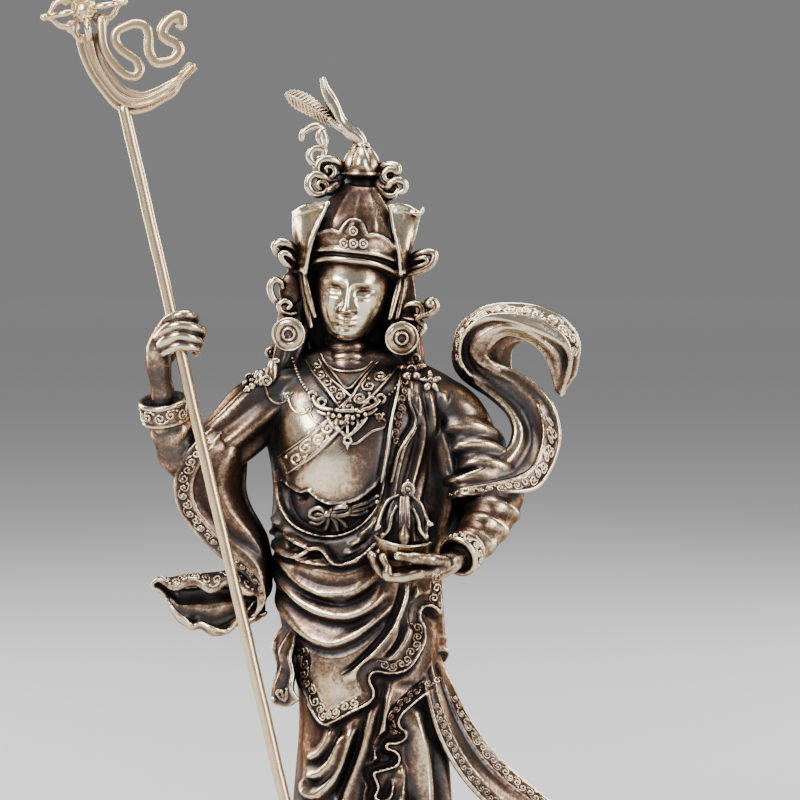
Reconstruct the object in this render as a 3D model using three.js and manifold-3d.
// A cast metal statuette of a robed standing figure in a tall lotus hat. It holds a long staff in
// its raised right hand and a skull cup with a small vase in its left, on a low lotus base.
// Millimetres, +Z up, +X to the viewer's right, the figure faces -Y. The origin is the middle of
// the base's underside.
import * as THREE from "three";
import { mergeVertices } from "three/addons/utils/BufferGeometryUtils.js";
import Module from "manifold-3d";

const wasm = await Module();
wasm.setup();

// Driving dimensions
const BASE_HEIGHT = 13;
const BASE_HALF_WIDTH = 31;
const BASE_HALF_DEPTH = 24;
const PETALS = 14;
const SEAM = 0.3; // gap kept between pieces that touch
const HEM_HEIGHT = BASE_HEIGHT + SEAM;
const HEAD_HALF_WIDTH = 7.1;
const HEAD_DEPTH = 17.5;
const CHIN = [-3.2, -3.4, 135.6];
const HEAD_TURN = -5; // degrees about the vertical, towards the viewer's left
const HEAD_TILT = 6; // degrees, top towards the viewer's right
const HEAD_NOD = 7; // degrees, face downwards
const CLOTH = 1.1;
const STAFF_RADIUS = 1.15;
const BORE_RADIUS = STAFF_RADIUS + SEAM; // the hand is cut clear of the staff
const BORE_HEIGHTS = [80, 160];
const STAFF_FOOT = [-8.6, -18.6, HEM_HEIGHT + SEAM];
const STAFF_NECK = [-46.6, -12, 181];
const FINGER_RADIUS = 1.1;

// The outlines are laid out as they look from the front. An eye at this distance, aimed at this x and
// z and raised by this angle, sees the pieces that stand forward larger, and the pieces are put where it
// sees them.
const EYE_DISTANCE = 600;
const EYE_AIM = [8, 124];
const EYE_RISE = 4; // degrees
const PLAIN_TOP = 44; // below this height the lay-out fades into the base's own upright one

const V = (x, y, z) => new THREE.Vector3(x, y, z);
const at = (p) => V(p[0], p[1], p[2]);
const clamp01 = (t) => Math.min(1, Math.max(0, t));
const ease = (a, b, x) => {
  const t = clamp01((x - a) / (b - a));
  return t * t * (3 - 2 * t);
};
const bump = (x, width) => Math.exp(-((x / width) ** 2));

// A smooth value along rows that start with their height, column by column.
function rowAt(rows, h) {
  let i = 0;
  while (i < rows.length - 2 && h > rows[i + 1][0]) i++;
  const [a, b] = [rows[i], rows[i + 1]];
  const before = rows[Math.max(0, i - 1)];
  const after = rows[Math.min(rows.length - 1, i + 2)];
  const gap = b[0] - a[0];
  const t = clamp01((h - a[0]) / gap);
  return a.slice(1).map((value, k) => {
    const c = k + 1;
    const m0 = ((b[c] - before[c]) / (b[0] - before[0])) * gap;
    const m1 = ((after[c] - a[c]) / (after[0] - a[0])) * gap;
    const [t2, t3] = [t * t, t * t * t];
    const start = (2 * t3 - 3 * t2 + 1) * value + (t3 - 2 * t2 + t) * m0;
    return start + (3 * t2 - 2 * t3) * b[c] + (t3 - t2) * m1;
  });
}

const curve = (points) => new THREE.CatmullRomCurve3(points.map(at), false, "centripetal");
const valueAt = (values, t) => {
  const s = t * (values.length - 1);
  const i = Math.min(values.length - 2, Math.floor(s));
  return values[i] + (values[i + 1] - values[i]) * (s - i);
};

// A manifold solid from corner points and triangles, turned to face outwards.
function solidFrom(points, triangles) {
  let volume = 0;
  for (const [a, b, c] of triangles) {
    volume += points[a].dot(points[b].clone().cross(points[c]));
  }
  const vertProperties = new Float32Array(points.flatMap((p) => [p.x, p.y, p.z]));
  const faces = volume < 0 ? triangles.map(([a, b, c]) => [a, c, b]) : triangles;
  const triVerts = new Uint32Array(faces.flat());
  return new wasm.Manifold(new wasm.Mesh({ numProp: 3, vertProperties, triVerts }));
}

// A solid through rings of as many points each. An open one is capped at both ends.
function loft(rings, closed = false) {
  const n = rings[0].length;
  const points = rings.flat().map((p) => p.clone());
  const triangles = [];
  const last = closed ? rings.length : rings.length - 1;
  for (let i = 0; i < last; i++) {
    const next = (i + 1) % rings.length;
    for (let j = 0; j < n; j++) {
      const [a, b, c, d] = [i * n + j, i * n + ((j + 1) % n), next * n + j, next * n + ((j + 1) % n)];
      triangles.push([a, b, d], [a, d, c]);
    }
  }
  if (!closed) {
    for (const [i, turned] of [[0, true], [rings.length - 1, false]]) {
      const centre = points.length;
      points.push(rings[i].reduce((sum, p) => sum.add(p), V(0, 0, 0)).divideScalar(n));
      for (let j = 0; j < n; j++) {
        const [a, b] = [i * n + j, i * n + ((j + 1) % n)];
        triangles.push(turned ? [centre, b, a] : [centre, a, b]);
      }
    }
  }
  return solidFrom(points, triangles);
}

const join = (list) => list.reduce((sum, s) => sum.add(s));

// A round tube along points, with radii given at even steps; flat presses it along the given way.
function tube(points, radii, { sides = 8, steps = 12, way = V(0, 1, 0), flat = 1 } = {}) {
  const line = curve(points);
  const rings = [];
  for (let i = 0; i <= steps; i++) {
    const t = i / steps;
    const centre = line.getPoint(t);
    const ahead = line.getTangent(t);
    const side = ahead.clone().cross(way).normalize();
    const up = side.clone().cross(ahead).normalize();
    const r = valueAt(radii, t);
    rings.push(ringAround(centre, side.multiplyScalar(r), up.multiplyScalar(r * flat), sides));
  }
  return loft(rings);
}

function ringAround(centre, side, up, sides) {
  return Array.from({ length: sides }, (_, j) => {
    const a = (2 * Math.PI * j) / sides;
    return centre.clone().addScaledVector(side, Math.cos(a)).addScaledVector(up, Math.sin(a));
  });
}

// A limb or finger: a tube whose ends close in a short dome.
function limb(points, radii, options = {}) {
  const { steps = 8 } = options;
  const rounded = [0.45 * radii[0], ...radii, 0.45 * radii[radii.length - 1]];
  const first = at(points[0]).lerp(at(points[1]), -0.12).toArray();
  return tube([first, ...points], rounded, { ...options, steps: steps + 1 });
}

function ball(centre, radii, detail = 0) {
  const geometry = new THREE.IcosahedronGeometry(1, detail);
  geometry.deleteAttribute("normal");
  geometry.deleteAttribute("uv");
  const merged = mergeVertices(geometry.scale(...radii).translate(...centre), 1e-4);
  const p = merged.attributes.position;
  const points = Array.from({ length: p.count }, (_, i) => V(p.getX(i), p.getY(i), p.getZ(i)));
  const triangles = [];
  for (let i = 0; i < merged.index.count; i += 3) {
    triangles.push([merged.index.getX(i), merged.index.getX(i + 1), merged.index.getX(i + 2)]);
  }
  return solidFrom(points, triangles);
}

// A turned solid: rows of radius and height, about an upright axis through the place given.
function turned(rows, [x, y, z], sides = 16, squash = 1) {
  return loft(rows.map(([r, h]) => ringAround(V(x, y, z + h), V(r, 0, 0), V(0, r * squash, 0), sides)));
}

// A cloth through lines that run side by side. Its section is smooth from the first line to the last.
function sheet(lines, { steps = 20, across = 4, thick = CLOTH } = {}) {
  const curves = lines.map(curve);
  const rowAlong = (t) => {
    const marks = curves.map((c) => c.getPoint(clamp01(t)));
    const section = new THREE.CatmullRomCurve3(marks, false, "centripetal");
    return Array.from({ length: across + 1 }, (_, k) => section.getPoint(k / across));
  };
  const reach = 0.02;
  const rings = [];
  for (let i = 0; i <= steps; i++) {
    const t = i / steps;
    const [row, before, after] = [rowAlong(t), rowAlong(t - reach), rowAlong(t + reach)];
    const normals = row.map((_, k) => {
      const ahead = after[k].clone().sub(before[k]);
      const over = row[Math.min(across, k + 1)].clone().sub(row[Math.max(0, k - 1)]);
      return ahead.cross(over).normalize();
    });
    const skin = (offset) => row.map((p, k) => p.clone().addScaledVector(normals[k], offset));
    rings.push([...skin(thick / 2), ...skin(-thick / 2).reverse()]);
  }
  return loft(rings);
}

// The robed body: height, centre x, centre y, half width, half depth
const BODY = [
  [13, 2, 0.6, 18.6, 14.2],
  [24, 2, 0.6, 17.2, 13.2],
  [44, 1.9, 0.4, 15.9, 12.2],
  [64, 2.3, 0.2, 15.2, 11.6],
  [74, 1.4, 0.1, 15.8, 11.6],
  [84, 0, 0, 16.6, 11.7],
  [92, -0.6, -0.2, 16.6, 11.4],
  [100, -1.6, -0.3, 15.4, 11],
  [108, -1.9, -0.8, 14.9, 11.6],
  [116, -1.8, -0.6, 16.4, 11.8],
  [122, -0.8, 0.2, 18.8, 10.8],
  [126.4, -0.2, 0.8, 19.6, 9.2],
  [129, -0.6, 1.6, 17.6, 6.8],
  [131, -1.2, 2.4, 14.6, 4.6],
  [133, -2, 2.8, 10.4, 3.8],
  [134.6, -2.4, 3.2, 7, 3.2],
];
const BODY_TOP = BODY[BODY.length - 1][0];

// Crests of the drapery's folds in the front view, as x and z, with how far they rise and half their width
const FOLDS = [
  { crest: [[-17, 93.1], [-13, 88.1], [-8.8, 85.4], [-3.4, 84.2], [3.5, 89.4]], rise: 1.7, half: 1.3 },
  { crest: [[-17, 91.4], [-13.7, 85.4], [-8.8, 81.5], [-3.1, 80.2], [5.2, 85.4]], rise: 1.8, half: 1.4 },
  { crest: [[-17, 86.8], [-14.4, 80.8], [-9.8, 76.2], [-4.8, 74.8], [5.8, 82.8]], rise: 1.7, half: 1.4 },
  { crest: [[-17.2, 86.4], [-15.6, 79.5], [-13.2, 73.5]], rise: 1.6, half: 1.2 },
  { crest: [[9.5, 86.8], [7.8, 80.5], [4.5, 74.2], [-2.1, 68.2]], rise: 1.7, half: 1.2 },
  { crest: [[12, 86.1], [10.8, 80.5], [7.8, 74.8], [2.6, 69.9]], rise: 1.6, half: 1.2 },
  { crest: [[-17.8, 98.4], [-12, 92.8], [-7.4, 94.6], [-3.4, 90.8], [5, 101]], rise: 2, half: 1.3 },
  { crest: [[-16.4, 106.7], [-14.4, 99.7], [-6.1, 96.7], [1.9, 101], [4.5, 106.4]], rise: 2, half: 1 },
  { crest: [[-3, 58], [-4, 44], [-5.5, 14]], rise: 1.4, half: 1.4 },
  { crest: [[1, 60], [0, 44], [-0.5, 14]], rise: 1.4, half: 1.2 },
  { crest: [[5, 57], [6, 44], [7, 14]], rise: 1.8, half: 1.5 },
  { crest: [[11.5, 62], [12, 44], [13, 14]], rise: 1.7, half: 1.5 },
  { crest: [[-13, 56], [-11, 51], [-7, 55]], rise: 1.3, half: 1.1 },
  { crest: [[-13.8, 49], [-10, 43.5], [-4.4, 52]], rise: 1.4, half: 1.3 },
  { crest: [[-14, 36], [-8, 31], [-2, 38]], rise: 1.2, half: 1.6 },
];
// Edges of the two cloths that hang over the skirt, left to right in the front view
const APRON_HEM = [
  [-14.6, 76], [-12.8, 68.2], [-10.4, 62.6], [-7.4, 58.1], [-4.1, 59.2], [1.9, 62.6],
  [2.9, 65.2], [3.2, 68.7], [7.8, 69], [10.5, 70.9], [12.8, 75.5], [13.4, 80.6], [15.6, 82.5],
];
const CASCADE_HEM = [
  [3, 44.2], [4.6, 49.4], [7, 51.4], [5.2, 54.6], [8.4, 57.2], [8, 60], [10.6, 63], [13.2, 65], [16, 66],
];
const APRON_STEP = 1.2; // how far each cloth stands off the one under it
const CASCADE_STEP = 0.7;
const SWAGS = { from: 61, to: 109, step: 3 }; // heights where the folds lie close together
const BACK_PLEATS = 4;
const PLEAT_RISE = 1.1;

const foldLines = FOLDS.map(({ crest, rise, half }) => {
  const line = new THREE.CatmullRomCurve3(crest.map(([x, z]) => V(x, 0, z)), false, "centripetal");
  return { samples: line.getPoints(14), rise, half };
});

// Rise of the drapery over the body at a place in the front view
function drape(x, z) {
  let rise = 0;
  for (const { samples, rise: top, half } of foldLines) {
    let best = Infinity;
    let share = 0;
    samples.forEach((p, i) => {
      const d = Math.hypot(p.x - x, p.z - z);
      if (d < best) [best, share] = [d, i / (samples.length - 1)];
    });
    const fade = 0.35 + 0.65 * Math.sin(Math.PI * clamp01(share)) ** 0.6;
    rise += top * fade * (bump(best, half) - 0.25 * bump(best - 2 * half, half));
  }
  const hem = (edge, step) => step * (z > heightOn(edge, x) ? 1 : 0);
  return rise + hem(APRON_HEM, APRON_STEP) + hem(CASCADE_HEM, CASCADE_STEP);
}

// Height of a hem over x; outside its ends the cloth goes round the back.
function heightOn(edge, x) {
  if (x <= edge[0][0]) return edge[0][1];
  for (let i = 1; i < edge.length; i++) {
    const [[x0, z0], [x1, z1]] = [edge[i - 1], edge[i]];
    if (x <= x1 && x > x0) return z0 + ((z1 - z0) * (x - x0)) / (x1 - x0);
  }
  return edge[edge.length - 1][1];
}

// A point of the robe: angle from the front towards +X, height, and how far it stands off the cloth
function robePoint(angle, z, lift = 0) {
  const [cx, cy, halfWidth, halfDepth] = rowAt(BODY, z);
  const [s, c] = [Math.sin(angle), Math.cos(angle)];
  const front = ease(-0.15, 0.35, c);
  const low = 1 - ease(118, 126, z);
  const pleat = PLEAT_RISE * Math.cos(2 * BACK_PLEATS * angle) * low * (1 - front);
  const x = cx + halfWidth * s;
  const rise = lift + pleat + drape(x, z) * front * low;
  const away = V(s / halfWidth, -c / halfDepth, 0).normalize();
  return V(x, cy - halfDepth * c, z).addScaledVector(away, rise);
}

// The robe's front surface straight behind a place in the front view
function onRobe(x, z, lift = 0) {
  const [cx, , halfWidth] = rowAt(BODY, z);
  return robePoint(Math.asin(Math.max(-1, Math.min(1, (x - cx) / halfWidth))), z, lift);
}

function robe() {
  const sides = 24;
  const { from, to, step } = SWAGS;
  const heights = [HEM_HEIGHT, 30, 46, 56];
  for (let z = from; z <= to; z += step) heights.push(z);
  heights.push(115, 121, 126, 129.4, 132, BODY_TOP);
  const rings = [];
  for (const [i, z] of heights.entries()) {
    rings.push(
      Array.from({ length: sides }, (_, j) => {
        const s = (2 * j) / sides - 1;
        const p = robePoint(Math.PI * (0.62 * s + 0.38 * s ** 3), z);
        return i ? p : p.setZ(HEM_HEIGHT);
      }),
    );
  }
  return loft(rings);
}

const TRIM_DEPTH = V(0, 1.6, 0);

// A raised edge or band on the robe, along places in the front view
function trim(places, width, steps, lift = 0.25) {
  const line = new THREE.CatmullRomCurve3(places.map(([x, z]) => V(x, 0, z)), false, "centripetal");
  const rings = [];
  for (let i = 0; i <= steps; i++) {
    const p = line.getPoint(i / steps);
    const way = line.getTangent(i / steps);
    const half = V(-way.z, 0, way.x).multiplyScalar(width / 2);
    const edge = [onRobe(p.x + half.x, p.z + half.z, lift), onRobe(p.x - half.x, p.z - half.z, lift)];
    rings.push([...edge, edge[1].clone().add(TRIM_DEPTH), edge[0].clone().add(TRIM_DEPTH)]);
  }
  return loft(rings);
}

// Bands of the crossed collar and of the cloak's edge, in the front view
const COLLAR_LEFT = [[-9.6, 130.5], [-6, 126], [-3.6, 123.4]];
const COLLAR_RIGHT = [[6, 129.6], [1, 124.4], [-3.4, 120.2], [-9, 116.4], [-15.2, 111]];
const CLOAK_EDGE = [[9, 128.5], [8.6, 121.5], [7.2, 115], [5.4, 107], [3.6, 103]];
const BAND_WIDTH = 3.4;

function robeTrims() {
  return [
    trim(COLLAR_LEFT, BAND_WIDTH, 3, 0.55),
    trim(COLLAR_RIGHT, BAND_WIDTH, 7, 0.7),
    trim(CLOAK_EDGE, BAND_WIDTH, 6, 0.8),
  ];
}

// The clasp of the necklace and the knot of the belt
function chestJewel() {
  const heart = onRobe(-2.6, 120, 0.8);
  const wings = [-1, 1].map((side) => {
    const p = onRobe(-2.6 + 3.2 * side, 122.2, 0.5);
    return ball(p.toArray(), [2.2, 1, 1.3]);
  });
  return [...wings, ball([heart.x, heart.y, heart.z - 1.2], [1.8, 1, 2.8])];
}

function belt() {
  const knot = onRobe(-4.8, 101, -0.4);
  return [
    ball(knot.toArray(), [2.4, 1.2, 1.3]),
    ball([knot.x - 3, knot.y + 0.4, knot.z - 0.6], [2.4, 1, 1.2]),
    ball([knot.x + 3.4, knot.y + 0.3, knot.z + 0.4], [2.6, 1, 1.3]),
  ];
}

function feet() {
  const toe = HEM_HEIGHT + 1.9;
  const shape = { sides: 6, steps: 2, way: V(0, 0, 1), flat: 0.62 };
  return [-4.5, 8.5].map((x) => limb([[x, -11, toe], [x, -14, toe], [x, -16, toe]], [2.8, 3, 2.4], shape));
}

// The head is built with its chin at the origin, upright, facing -Y, and is then placed.
const headPlace = new THREE.Matrix4()
  .makeTranslation(...CHIN)
  .multiply(new THREE.Matrix4().makeRotationY(THREE.MathUtils.degToRad(HEAD_TILT)))
  .multiply(new THREE.Matrix4().makeRotationZ(THREE.MathUtils.degToRad(HEAD_TURN)))
  .multiply(new THREE.Matrix4().makeRotationX(THREE.MathUtils.degToRad(HEAD_NOD)));
const headAxisY = HEAD_DEPTH / 2 - 1.2;
const onHead = (solid) => solid.transform(headPlace.elements);

// Rise of the face's features over the head at a distance from the middle and a height over the chin
function face(x, h) {
  const side = Math.abs(x);
  const down = clamp01((11.4 - h) / 4.4);
  const bridge = bump(x, 0.8 + 0.5 * down) * ease(6.3, 7.1, h) * (1 - ease(10.8, 12.4, h));
  const nose = (0.5 + 2 * down ** 1.3) * bridge;
  const wings = 0.8 * bump(side - 1.3, 0.7) * bump(h - 7.2, 0.7);
  const sockets = -1 * bump(side - 2.9, 1.6) * bump(h - 10.2, 1.1);
  const eyes = 0.7 * bump(side - 3.1, 1.3) * bump(h - 9.9, 0.8);
  const brows = 0.45 * bump(side - 3.2, 2.2) * bump(h - 11.9, 0.7);
  const cheeks = 0.4 * bump(side - 4.2, 1.8) * bump(h - 7.8, 2);
  const lips = 0.8 * bump(x, 2.1) * (bump(h - 5.1, 0.55) + bump(h - 4, 0.55));
  const chin = 0.8 * bump(x, 1.8) * bump(h - 1.5, 1.3) - 0.4 * bump(x, 2) * bump(h - 3, 0.6);
  return nose + wings + sockets + eyes + brows + cheeks + lips + chin;
}

// Head outline: height over the chin, half width, front and back of the middle axis
const HEAD = [
  [-0.4, 1.6, 5.4, -2],
  [0.6, 3.4, 7.2, -1],
  [2.5, 5, 7.8, 2],
  [5, 6.1, 8, 5.6],
  [8, 6.8, 8.2, 8],
  [11, 7.1, 8.3, 9],
  [14, 7.1, 8.2, 9.2],
  [17, 6.4, 7.2, 8.4],
  [19.6, 4, 4.6, 5.6],
];

function skull() {
  const sides = 14;
  const rings = 9;
  return loft(
    Array.from({ length: rings }, (_, i) => {
      const h = HEAD[0][0] + ((HEAD[HEAD.length - 1][0] - HEAD[0][0]) * i) / (rings - 1);
      const [half, front, back] = rowAt(HEAD, h);
      return Array.from({ length: sides }, (_, j) => {
        const s = (2 * j) / sides - 1;
        const a = Math.PI * (0.55 * s + 0.45 * s ** 3);
        const x = half * Math.sin(a);
        const c = Math.cos(a);
        const y = c > 0 ? -front * c ** 0.9 - face(x, h) * ease(0.1, 0.5, c) : -back * c;
        return V(x, headAxisY + y, h);
      });
    }),
  );
}

function ears() {
  return [-1, 1].flatMap((side) => [
    ball([side * (HEAD_HALF_WIDTH + 0.2), headAxisY + 0.4, 8.6], [0.9, 1.6, 2.8]),
    limb(
      [[side * 7.6, headAxisY, 7], [side * 8.2, headAxisY - 0.6, 4], [side * 8.6, headAxisY - 0.8, 1.6]],
      [0.8, 0.6, 0.7],
      { sides: 5, steps: 2 },
    ),
  ]);
}

// Round ear discs, each a short turned plug with a raised rim and boss, on an axis towards the viewer
function earDisc([x, y, z], turn) {
  const rows = [[2.6, -4.6], [3.4, 0.6], [2.6, 0.6], [2.4, 0], [1.1, 0.1], [0.9, 0.9]];
  const place = new THREE.Matrix4()
    .makeTranslation(x, y, z)
    .multiply(new THREE.Matrix4().makeRotationZ(THREE.MathUtils.degToRad(turn)))
    .multiply(new THREE.Matrix4().makeRotationX(Math.PI / 2));
  return turned(rows, [0, 0, 0], 9).transform(place.elements);
}

// Flower of drops that hangs on each shoulder under an ear disc
function rosette(centre, spread) {
  const drops = Array.from({ length: 2 }, (_, i) => {
    const a = Math.PI * (i + 0.25);
    const [x, y, z] = centre;
    return ball([x + spread * Math.cos(a), y + 0.4, z + spread * Math.sin(a)], [1.6, 1.5, 1.6]);
  });
  return [...drops, ball(centre, [1.6, 1.9, 1.6])];
}

// The lotus hat, in the head's own frame: height, half width, front and back of the middle axis
const HAT = [
  [15, 8, 8.8, 8.8],
  [16.4, 10, 9.6, 10.3],
  [18.6, 9.9, 9.7, 10.2],
  [19.4, 9.5, 9.4, 9.9],
  [22, 9.2, 9.3, 9.5],
  [25.8, 7.5, 7.5, 7.8],
  [28.4, 5.2, 5.2, 5.4],
  [30.8, 3.3, 3.3, 3.4],
];
const HAT_HEIGHT = HAT[HAT.length - 1][0] - HAT[0][0];
const HAT_SIDE_DROP = 3.6; // how much lower the brim sits at the ears

function hat() {
  const sides = 12;
  const dome = loft(
    HAT.map(([h, half, front, back]) => {
      const t = (h - HAT[0][0]) / HAT_HEIGHT;
      return Array.from({ length: sides }, (_, j) => {
        const a = (2 * Math.PI * j) / sides;
        const [s, c] = [Math.sin(a), Math.cos(a)];
        const drop = HAT_SIDE_DROP * (1 - t) * Math.min(1, s * s + (c < 0 ? 1 : 0));
        return V(half * s, headAxisY - (c > 0 ? front : back) * c, h - drop);
      });
    }),
  );
  return onHead(join([dome, ...hatRims()]));
}

const onHat = (angle, h, lift) => {
  const [half, front] = rowAt(HAT, h);
  const drop = HAT_SIDE_DROP * (1 - (h - HAT[0][0]) / HAT_HEIGHT) * Math.sin(angle) ** 2;
  return [(half + lift) * Math.sin(angle), headAxisY - (front + lift) * Math.cos(angle), h - drop];
};

function hatRims() {
  const spread = [-1.5, -1, -0.6, -0.3, 0, 0.3, 0.6, 1, 1.5];
  const panelTop = (a) => 19.6 + 4.4 * bump(a, 0.32) + 0.6 * bump(Math.abs(a) - 0.62, 0.2);
  const panel = tube(spread.map((a) => onHat(a, panelTop(a), 0.2)), [0.6, 0.6], { sides: 3, steps: 8 });
  return [panel, ball(onHat(0, 21, 0.2), [1.3, 0.8, 1.6])];
}

function hatFlaps() {
  const shape = { steps: 4, across: 2, thick: 1 };
  return [
    sheet([
      [[-12, 1.4, 149.4], [-12.8, 1.6, 154.4], [-13.4, 1.8, 161.4]],
      [[-11.6, -1.4, 149.4], [-11.7, -1.6, 154.4], [-10.5, -1.4, 162.4]],
      [[-11.3, -3.8, 149.4], [-10.2, -4.6, 154.4], [-6.5, -4.6, 163.4]],
    ], shape),
    sheet([
      [[8.4, -3.8, 149.2], [7.8, -4.6, 154.4], [6.3, -5, 162.6]],
      [[8.7, -1.8, 149.2], [8.9, -2.4, 154.4], [8.4, -2.6, 162.6]],
      [[9, 0.6, 149.2], [10.2, 0.4, 154.4], [12, 0.4, 161.2]],
    ], shape),
  ];
}

// Bows at the temples, the curls beside the ears and the hair behind them
function headSides() {
  const bow = (points) => tube(points, [0.7, 1, 1.2, 1, 0.7], { sides: 4, steps: 4 });
  return [
    bow([[-9, 0, 150.6], [-15, -1, 152], [-16.8, -1, 154.4], [-14.6, -1, 155.2], [-9, 0, 153.4]]),
    bow([[6, 0, 151], [12.4, -1, 150.4], [14.4, -1, 152], [12.8, -1, 153.4], [6, 0, 152.6]]),
    bow([[6, 1, 140], [12.6, -0.2, 138.8], [13.4, -0.4, 141.2], [11.6, -0.4, 142.6], [14.4, -0.8, 144.6]]),
    ball([-13.2, 0, 145.2], [3, 1.6, 4]),
  ];
}

function hair() {
  const lock = (points) => limb(points, [4.2, 3.9, 3.2, 2.4], { sides: 6, steps: 3 });
  const mass = [[-2, 6.4, 150], [-2.2, 7.2, 141], [-2.4, 7.6, 133], [-2.4, 8.2, 124]];
  return [
    lock([[-9.6, 4, 151.6], [-11.4, 3.4, 144], [-12.6, 2.8, 138], [-14.6, 2, 130.8]]),
    lock([[5.6, 4, 151.6], [6.8, 3.4, 144], [7.8, 2.8, 138], [9.6, 2, 130.8]]),
    limb(mass, [9, 10, 9.4, 5], { sides: 8, steps: 3, way: V(0, 1, 0), flat: 0.5 }),
  ];
}

// Knop with a pair of double scrolls and leaves on top of the hat, and one curl above the left pair
function finial() {
  const [x, y, z] = [0.3, 2.5, 165.4];
  const knopRows = [[3.2, -1.2], [3.1, 0.3], [2.7, 1.7], [3.5, 3.4], [3.4, 4.6], [2.5, 7.2], [1.2, 9]];
  const scroll = [
    [2, 3.6], [4, 5.6], [7, 5.4], [8, 3.4], [6.4, 2], [4.8, 3], [5.6, 4.2],
  ];
  const lower = [[2.4, 2.6], [5, 1.4], [7.4, 2], [9.4, 2.6], [10.2, 0.8], [9, -1.4], [7.4, -0.6], [8, 0.8]];
  const curl = [[-5.9, 6], [-8.5, 6.6], [-10.2, 8], [-8.3, 9.8], [-7.5, 12], [-8.9, 13.4], [-11.9, 11.4]];
  const strand = (path, side, steps) =>
    tube(path.map(([u, v]) => [x + side * u, y, z + v]), [1, 0.9, 0.7], { sides: 3, steps });
  return [
    turned(knopRows, [x, y, z], 8),
    ...[-1, 1].flatMap((side) => [strand(scroll, side, 7), strand(lower, side, 8)]),
    strand(curl, 1, 7),
  ];
}

function plume() {
  const stem = [[0.7, 2.6, 172.4], [0.2, 2.4, 176.4], [-3, 2.2, 179.8], [-5.2, 2, 184], [-7, 1.8, 188]];
  const vane = [
    [[-3, 2.4, 180], [-7, 2.6, 182], [-10, 2.6, 184.8], [-13, 2.6, 186.2], [-15.2, 2.4, 184.8]],
    [[-3.1, 2, 179.4], [-7, 1.8, 180.8], [-10, 1.8, 182.6], [-13, 1.8, 184], [-15.1, 2, 184.4]],
    [[-3.2, 2.4, 178.8], [-7, 2.2, 179.8], [-10, 2.2, 180.6], [-13, 2.2, 182], [-15, 2.4, 184]],
  ];
  return [
    limb(stem, [1.3, 1.5, 1.4, 1.3, 0.9], { sides: 6, steps: 5 }),
    sheet(vane, { steps: 5, across: 2, thick: 0.9 }),
  ];
}

// The viewer's left arm is the figure's right: upper arm out, forearm up, a wide cuff, the fist on the staff
const staffAt = (z) => {
  const t = (z - STAFF_FOOT[2]) / (STAFF_NECK[2] - STAFF_FOOT[2]);
  return at(STAFF_FOOT).lerp(at(STAFF_NECK), t);
};

function cuff(centre, axis, radius, width) {
  const way = at(axis).normalize();
  const side = way.clone().cross(V(0, 1, 0.01)).normalize();
  const up = side.clone().cross(way).normalize();
  const low = -width * 0.4;
  const inner = radius - 1.8;
  const outer = [[radius - 1.1, width], [radius, width], [radius - 0.3, low]];
  const rows = [...outer, [inner, low], [inner, width * 0.2]];
  const ring = ([r, h]) => {
    const middle = at(centre).addScaledVector(way, h);
    return ringAround(middle, side.clone().multiplyScalar(r), up.clone().multiplyScalar(r), 9);
  };
  return loft(rows.map(ring), true);
}

function rightArm() {
  const upper = [[-14, 1, 125.8], [-20, -0.2, 122.2], [-26.4, -2, 116], [-33, -3.4, 111.2]];
  const lower = [[-33.2, -3, 110.6], [-35.6, -4.6, 112.8], [-37.4, -6.4, 117], [-38.6, -7.4, 121.2]];
  return [
    limb(upper, [5.4, 6.2, 5.7, 4.9], { sides: 7, steps: 4 }),
    limb(lower, [4.4, 4.6, 4.4, 4.2], { sides: 7, steps: 2 }),
    cuff([-39, -7.9, 121.2], [-0.14, -0.34, 0.93], 4.9, 3),
    limb([[-39, -8, 119], [-39.4, -9, 124], [-39.7, -10, 128.6]], [2.4, 2.2, 2.3], { sides: 6, steps: 1 }),
  ];
}

function rightHand() {
  const grip = (reach, z) => {
    const c = staffAt(z);
    const path = [[-4, 1.8, -1.4], [-3.6, -1.2, -0.4], [-1, -2.7, 0.9], [2, -2.6, 0.9], [reach, -1.7, 0.1]];
    const points = path.map(([x, y, dz]) => [c.x + x, c.y + y, z + dz]);
    return limb(points, [FINGER_RADIUS, FINGER_RADIUS, 0.85], { sides: 4, steps: 4 });
  };
  const back = [[-39.6, -9.6, 127], [-40, -10.6, 131], [-40, -11.6, 135], [-39.6, -12.2, 138.4]];
  const palm = tube(back, [2.4, 3, 3.1, 1.6], { sides: 6, steps: 3, way: V(1, 0, 0), flat: 0.8 });
  const thumbLine = [[-39.4, -9.2, 131], [-37.6, -10, 133.8], [-35, -11.4, 136.2]];
  const thumb = limb(thumbLine, [1.5, 1.3, 0.9], { sides: 5, steps: 2 });
  return join([palm, thumb, grip(3.6, 140), grip(5, 137.6), grip(4.6, 135.4), grip(4, 133.2)]);
}

// The figure's left arm: elbow out, forearm towards the viewer and inwards, palm up
function leftArm() {
  const cloak = [[9, 2.4, 126], [14.4, 1.6, 115], [16.4, 1, 105], [15.2, 0.8, 97], [12.4, 1, 91]];
  const upper = [[13, 1.4, 125.4], [18.6, 0.8, 121.8], [23, 0.2, 114.4], [26.8, -1, 106]];
  const lower = [[27.6, -1, 105], [26, -5.4, 100.6], [23.4, -10.8, 96.2], [21.2, -14.6, 93.4]];
  return [
    limb(upper, [5.4, 5.9, 5.8, 5.7], { sides: 8, steps: 4 }),
    limb(cloak, [5.6, 6.4, 6.2, 5.6, 4.4], { sides: 7, steps: 4 }),
    limb(lower, [5.4, 5.2, 4.5, 4], { sides: 7, steps: 3 }),
    cuff([21.2, -14.4, 93.6], [-0.5, -0.72, -0.42], 4.3, 2.6),
    limb([[21.5, -14, 94], [18.6, -17, 91.4], [15.6, -18.6, 90]], [2.2, 2, 2.4], { sides: 6, steps: 1 }),
  ];
}

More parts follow.
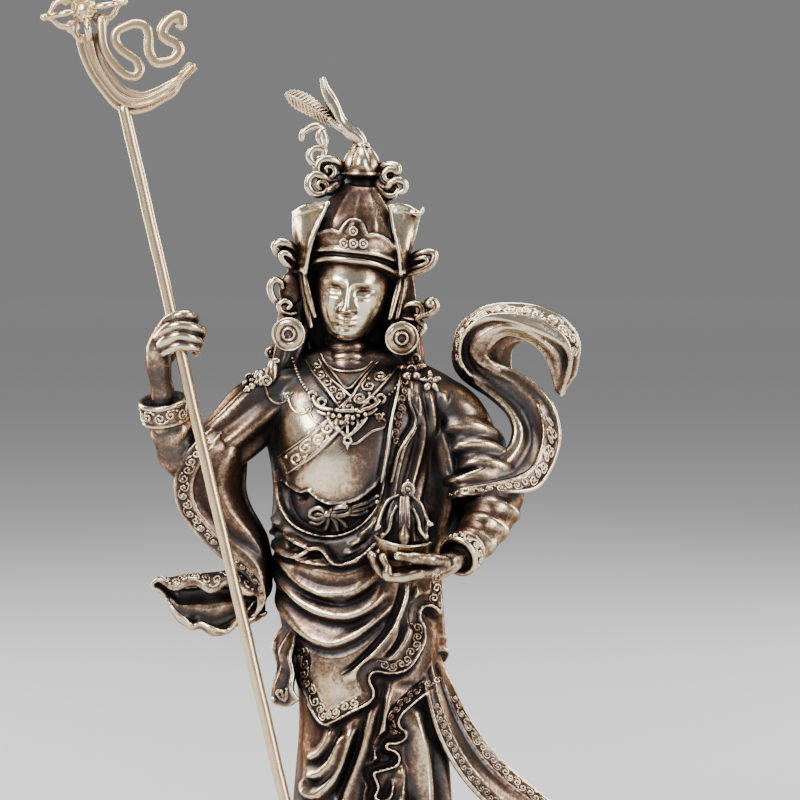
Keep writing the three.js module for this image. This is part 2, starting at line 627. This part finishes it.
function leftHand() {
  const finger = (y, tip) => {
    const path = [[12, y, 89.4], [7, y - 0.2, 88.6], [4, y - 0.2, 90], [tip, y, 92.8]];
    return limb(path, [1.3, 1.2, 1.05, 0.85], { sides: 4, steps: 3 });
  };
  const palm = [[17.4, -17.8, 90.2], [14, -19, 89.6], [10, -19.2, 89.2]];
  return [
    tube(palm, [2.2, 4, 4.4], { sides: 8, steps: 2, way: V(0, 0, 1), flat: 0.42 }),
    finger(-22.2, 4.8),
    finger(-20.2, 2.6),
    finger(-18.2, 2.2),
    finger(-16.4, 4),
    limb([[16, -21, 90.8], [12.6, -23.6, 91.6], [8.4, -24.2, 92.2]], [1.5, 1.35, 1], { sides: 5, steps: 3 }),
  ];
}

// Cloth over the viewer's left arm: the sleeve's wide edge hangs as a band from the forearm to the hip
const SLEEVE = [
  [
    [-29.2, -7.8, 118.8], [-35.2, -9.3, 112.4], [-36.8, -7.6, 108], [-36.4, -6.1, 103],
    [-29.8, -6, 94.4], [-22.4, -5.8, 88.2], [-20.6, -4.6, 81.6], [-22.8, -3.6, 79],
  ],
  [
    [-25.8, -7.8, 116.8], [-30.4, -8.9, 110.6], [-31.6, -8, 107], [-31.2, -7.1, 103.4],
    [-25.6, -6.4, 97], [-19.6, -5.6, 91.4], [-18.7, -4.2, 84], [-21, -3.4, 81.2],
  ],
  [
    [-24, -7.6, 116.8], [-27.4, -8.6, 110], [-28.1, -8.2, 106.4], [-27.4, -7.8, 102.8],
    [-22.6, -6.8, 97], [-19.2, -5, 92], [-18.5, -3.4, 85.2], [-20.6, -2.8, 82],
  ],
  [
    [-22, -2.5, 118], [-23.2, -2.4, 109.2], [-23.3, -2.2, 105.8], [-22.2, -2, 102.4],
    [-19.1, -1.6, 96.6], [-18.1, -1, 91.6], [-18.2, -0.4, 85.6], [-20.2, 0, 82.8],
  ],
];

// The lap is a trough open to the viewer, from the hip out to its drooping tip.
// Its rows are the middle's x and z, how far it reaches up and down, and its y.
const LAP = [
  [-42, 86.6, 0.7, 0.8, -3.6],
  [-40.6, 87.2, 1.8, 2.9, -3.6],
  [-38.2, 86, 3, 6.6, -3.6],
  [-35.4, 85.6, 3.6, 7.7, -3.6],
  [-32, 85.4, 4, 8.6, -3.6],
  [-28, 85, 4.6, 8.4, -3.6],
  [-24.6, 84.6, 4.9, 6.9, -3.4],
  [-21.4, 84, 4, 4.8, -3],
  [-19, 83.6, 2.4, 3.2, -2.4],
];
const LAP_TOP = 24; // degrees above the front where the upper lip ends, and below it the lower lip
const LAP_LOW = -70;
const LAP_WAVES = 2.9;

function lap() {
  const [steps, arc] = [10, 6];
  const swell = (t) => Math.min(1, 1.6 * Math.sin(Math.PI * t));
  const wave = (t, phase) => swell(t) * Math.sin(2 * Math.PI * (LAP_WAVES * t + phase));
  return loft(
    Array.from({ length: steps + 1 }, (_, i) => {
      const t = i / steps;
      const [x, z, up, down, y] = LAP[0].map((_value, k) => valueAt(LAP.map((row) => row[k]), t));
      const [top, low] = [LAP_TOP + 17 * wave(t, 0.1), LAP_LOW + 12 * wave(t, 0.45)];
      const skin = (inner) =>
        Array.from({ length: arc }, (_value, j) => {
          const a = THREE.MathUtils.degToRad(top + ((360 + low - top) * j) / (arc - 1));
          const high = Math.max(0.2, (Math.sin(a) > 0 ? up : down) - inner);
          const deep = Math.max(0.15, Math.min(0.39 * (up + down), 4.4) - inner);
          return V(x, y - deep * Math.cos(a), z + high * Math.sin(a));
        });
      return [...skin(0), ...skin(CLOTH).reverse()];
    }),
  );
}

// The scarf at the viewer's right: one band from the tip of the loop over its top, round to the left and
// back to the right into the wide arc that ends in front of the elbow
const SCARF = [
  [
    [40.4, 0.8, 125], [43, 0.4, 129.2], [43.7, 0, 135.3], [39.9, 0, 140.6], [32.3, 0, 143.1],
    [24.6, 0, 142.4], [19.8, 0.6, 138.3], [18.7, 1.4, 132.8], [20.6, 2.2, 128.4], [25, 2.4, 125.3],
    [29.5, 1.2, 121.2], [30.4, 0, 116], [26.8, -3.4, 111.4], [20.8, -7, 109.2], [16.2, -2, 107.8],
  ],
  [
    [39.8, 0.8, 125.2], [40.5, -0.6, 129.2], [40.3, -1.2, 133.6], [36.8, -1.8, 136.6], [32.2, -2.2, 138.7],
    [27.5, -2.2, 139.4], [23.6, -2, 137.8], [21.5, -1.2, 134.4], [21.9, -0.2, 131.1], [25.1, 0.8, 128.5],
    [29.8, 0, 125.4], [33.8, -1.2, 120.4], [33.7, -2.4, 114.2], [28.6, -6, 109], [16.8, -4.4, 106.4],
  ],
  [
    [39.2, 1, 125.8], [38.4, 0.4, 130.4], [36.7, 0, 133.5], [33.8, -0.4, 136], [30.6, -0.6, 137.3],
    [27.8, -0.5, 136.9], [25.8, -0.2, 134.8], [25.2, 0.2, 132.9], [27, 0.6, 131.2], [30.8, 0.8, 129.7],
    [35.8, -0.2, 126], [39.5, -1, 119.2], [38.2, -2, 110.6], [29.6, -7, 105.4], [17.2, -5.8, 105],
  ],
];
// The loop's inner lip, which turns away from the viewer
const LOOP_LIP = [
  [
    [27.6, 0.8, 130.9], [25.4, 0.4, 132.9], [26, 0, 134.9], [28.6, -0.3, 137],
    [32.4, -0.3, 136.6], [35.6, 0, 134.6], [37.8, 0.5, 131.4], [39.1, 1.1, 126.2],
  ],
  [
    [30.6, 4.4, 129.2], [30.2, 4.4, 131], [30.6, 4, 134.3], [32.8, 3.8, 135.8],
    [35.4, 3.8, 135.5], [37.4, 3.6, 133.8], [38.3, 3.4, 130.4], [38.9, 2.6, 126.1],
  ],
];
// The long cloth tail that flares to the viewer's right, and the short one at the left hip
const LONG_TAIL = [
  [[15, 1, 77], [16.6, -1.4, 71], [21, -2.8, 60.6], [25.8, -2.4, 53.4], [39.8, -1, 41.2]],
  [[12.8, -2.4, 77], [14.2, -5, 70.6], [18, -7.2, 57.6], [22.8, -6.2, 49.8], [37.8, -2.8, 38]],
  [[11.6, -3.6, 77], [13, -6.4, 70], [16.4, -8.6, 56], [20.8, -7.4, 48.2], [36.4, -3, 36.4]],
];
const HIP_TAIL = [
  [[-15.2, 0.5, 82.8], [-16.6, -1, 78.4], [-17.2, -2.6, 74.4], [-17.6, -3.8, 68.4], [-18, -4.2, 63.8]],
  [[-14.4, -4.5, 82.2], [-15.6, -6.2, 77.4], [-15.8, -6.8, 72.8], [-15.6, -7.2, 67.4], [-15.8, -7, 62.6]],
  [[-12.8, -8, 80.8], [-14, -9, 76], [-14, -9.2, 71.4], [-13.6, -9.2, 66.6], [-12.7, -8.8, 63.6]],
];

function cloths() {
  return [
    sheet(SLEEVE, { steps: 10, across: 3, thick: 1.3 }),
    lap(),
    sheet(SCARF, { steps: 21, across: 3, thick: 1.3 }),
    sheet(LOOP_LIP, { steps: 8, across: 1, thick: 1.1 }),
    sheet(LONG_TAIL, { steps: 8, across: 2, thick: 1.3 }),
    sheet(HIP_TAIL, { steps: 5, across: 2, thick: 1.3 }),
  ];
}

// Moves a point from the front lay-out to its true place
function truePlace([x, y, z]) {
  const weight = ease(HEM_HEIGHT, PLAIN_TOP, z);
  const grow = 1 + y / EYE_DISTANCE;
  const rise = y * Math.tan(THREE.MathUtils.degToRad(EYE_RISE));
  const trueX = EYE_AIM[0] + (x - EYE_AIM[0]) * grow;
  const trueZ = EYE_AIM[1] + (z - EYE_AIM[1]) * grow - rise;
  return V(x + (trueX - x) * weight, y, z + (trueZ - z) * weight);
}

function placed(solid) {
  const { numProp, vertProperties, triVerts } = solid.getMesh();
  const points = [];
  for (let i = 0; i < vertProperties.length; i += numProp) {
    points.push(truePlace(vertProperties.subarray(i, i + 3)));
  }
  const triangles = [];
  for (let i = 0; i < triVerts.length; i += 3) triangles.push([...triVerts.subarray(i, i + 3)]);
  return solidFrom(points, triangles);
}

// The staff's axis in true space, straight from its foot to the sweep of its head
const GRIP_HEIGHTS = [60, 170];
const axisMarks = GRIP_HEIGHTS.map((z) => truePlace(staffAt(z).toArray()));
const staffAxis = (z) => {
  const [low, high] = axisMarks;
  return low.clone().lerp(high, (z - low.z) / (high.z - low.z));
};

function figure() {
  const head = onHead(join([skull(), ...ears()]));
  const throat = [[-2.4, 2.4, 127], [-2.5, 2.8, 133], [-2.9, 4.2, 141]];
  const neck = tube(throat, [5.2, 4.4, 4.4], { sides: 10, steps: 2 });
  const whole = join([
    robe(), ...robeTrims(), ...chestJewel(), ...belt(), ...feet(),
    neck, head, hat(), ...hatFlaps(), ...headSides(), ...hair(), ...finial(), ...plume(),
    earDisc([-14.2, -3.4, 137.2], -12), earDisc([8.4, -3.4, 136.6], 18),
    ...rosette([-18, -1.2, 130.2], 2), ...rosette([12.6, -1.6, 130.4], 2),
    ...rightArm(), rightHand(), ...leftArm(), ...leftHand(), ...cloths(),
  ]);
  const ends = BORE_HEIGHTS.map((z) => staffAxis(z).toArray());
  const bore = tube(ends, [BORE_RADIUS, BORE_RADIUS], { sides: 8, steps: 1 });
  return placed(whole).subtract(bore);
}

// The staff: a plain rod, a fluted sweep of ribbon with a curling end, and a crossed thunderbolt
const CROSS = [-54.6, -12, 201.6];
const CROSS_TILT = 11; // degrees, right arm up

function staffRibbons() {
  const y = CROSS[1];
  const upright = (path) => path.map(([x, z]) => [x, y, z]);
  const outer = [
    [-56.6, 196], [-53.6, 189.4], [-50, 184], [-46.8, 181.2],
    [-43, 181.2], [-38.6, 183], [-35, 186.6], [-33.2, 190.6],
  ];
  const inner = [
    [-51.6, 196], [-50, 191], [-47.6, 188], [-44.6, 186.2],
    [-41.6, 186], [-38.8, 187], [-35.6, 189.4], [-33.4, 191.2],
  ];
  const curl = [
    [-50.8, 198], [-49.8, 192.2], [-47, 188.8], [-44.6, 188.4], [-43.9, 190], [-45.2, 192],
    [-48.4, 194.6], [-48, 197.4], [-45, 199], [-42.2, 197.2], [-42, 193.6], [-40, 191.2],
    [-37, 192.4], [-36, 194.6], [-39.2, 197.4], [-37.6, 200], [-35.6, 198.4],
  ];
  return [
    sheet([upright(outer), upright(inner)], { steps: 10, across: 1, thick: 1.8 }),
    tube(upright(curl), [0.95, 0.85, 0.85, 0.8], { sides: 4, steps: 16 }),
  ];
}

function crossedBolt() {
  const rows = [[1.2, 0], [1.4, 1.8], [2.6, 3.8], [2.2, 5.4], [0.9, 6.6], [0.3, 7.6]];
  const arm = (turn) => {
    const place = new THREE.Matrix4()
      .makeTranslation(...CROSS)
      .multiply(new THREE.Matrix4().makeRotationY(THREE.MathUtils.degToRad(turn - CROSS_TILT)));
    return turned(rows, [0, 0, 0], 5, 0.6).transform(place.elements);
  };
  return [ball(CROSS, [2.2, 2.1, 2.2]), ...[0, 90, 180, 270].map(arm)];
}

// Above the thunderbolt, the vase and trident that end such a staff
function staffTop() {
  const [x, y, z] = [CROSS[0] - 1.6, CROSS[1], CROSS[2] + 7.4];
  const prong = (side) => {
    const path = [[0, 9], [3, 10.6], [2.8, 14], [1.6, 17]];
    return tube(path.map(([u, h]) => [x + side * u, y, z + h]), [0.8, 0.9, 0.8, 0.3], { sides: 3, steps: 4 });
  };
  const vase = [[0.8, -1.4], [1, 0], [2.4, 0.8], [2.5, 2.6], [1.2, 4.4], [2.1, 6.2], [1.9, 8], [1, 9.4]];
  return [
    turned(vase, [x, y, z], 7),
    tube([[x, y, z + 9], [x, y, z + 14], [x, y, z + 19]], [0.8, 1, 0.3], { sides: 5, steps: 3 }),
    prong(-1),
    prong(1),
  ];
}

function staff() {
  const neck = truePlace(STAFF_NECK).z;
  const ends = [staffAxis(STAFF_FOOT[2]).toArray(), staffAxis(neck).toArray()];
  const rod = tube(ends, [STAFF_RADIUS, STAFF_RADIUS], { sides: 8, steps: 1 });
  return join([rod, placed(join([...staffRibbons(), ...crossedBolt(), ...staffTop()]))]);
}

// The skull cup and the vase that stands in it, with its jewel and its two side ribbons
const CUP = [8.6, -19.4, 91.6];

function skullCup() {
  const bowl = turned([[1.6, 0], [3.8, 0.8], [5.2, 2.2], [5.8, 3.4], [5, 3.4], [4.2, 2.6]], CUP, 10, 0.72);
  const [x, y, z] = [CUP[0] - 0.3, CUP[1], CUP[2]];
  const vaseRows = [
    [1.4, 1.2], [0.9, 2.6], [2.3, 4.4], [1.1, 6.4], [0.9, 9.8], [1.7, 11.8], [1.2, 13.2], [0.3, 14.8],
  ];
  const clothRows = [[4.4, 2.8], [4.6, 4.4], [4, 7.6], [2.3, 10.4], [1.2, 11.2]];
  const cloth = turned(clothRows, [x, y + 0.2, z], 9, 0.36);
  const streamer = (side) => {
    const path = [[1, 11.2], [3.6, 9], [4.4, 7], [5.4, 4.4], [5.2, 3]];
    const points = path.map(([u, h]) => [x + side * u, y - 1.6, z + h]);
    return tube(points, [0.7, 0.7, 0.5], { sides: 4, steps: 4 });
  };
  return placed(join([bowl, turned(vaseRows, [x, y, z], 7), cloth, streamer(-1), streamer(1)]));
}

function lotusBase() {
  const [sides, levels] = [PETALS * 3, [0, 2, 3.4, 8, BASE_HEIGHT]];
  const reach = [1, 1, 0.92, 1, 0.9];
  const relief = [0, 0, 0, 0.06, 0];
  const rings = levels.map((h, i) =>
    Array.from({ length: sides }, (_, j) => {
      const a = (2 * Math.PI * j) / sides;
      const r = reach[i] * (1 + relief[i] * (Math.abs(Math.cos((PETALS * a) / 2)) - 0.5));
      return V(BASE_HALF_WIDTH * r * Math.cos(a), BASE_HALF_DEPTH * r * Math.sin(a), h);
    }),
  );
  return loft(rings);
}

function meshOf(name, solid, color) {
  const { numProp, vertProperties, triVerts } = solid.getMesh();
  const points = new Float32Array((vertProperties.length / numProp) * 3);
  for (let i = 0; i < points.length / 3; i++) {
    points.set(vertProperties.subarray(i * numProp, i * numProp + 3), i * 3);
  }
  const geometry = new THREE.BufferGeometry()
    .setAttribute("position", new THREE.BufferAttribute(points, 3))
    .setIndex(new THREE.BufferAttribute(triVerts, 1));
  geometry.computeVertexNormals();
  const material = new THREE.MeshStandardMaterial({ color, roughness: 0.38, metalness: 1 });
  const mesh = new THREE.Mesh(geometry, material);
  mesh.name = name;
  return mesh;
}

const group = new THREE.Group();
group.add(
  meshOf("figure", figure(), 0x9c7f66),
  meshOf("staff", staff(), 0xd8c9a8),
  meshOf("skull_cup", skullCup(), 0xc9b590),
  meshOf("lotus_base", lotusBase(), 0x8a7058),
);

export default group;
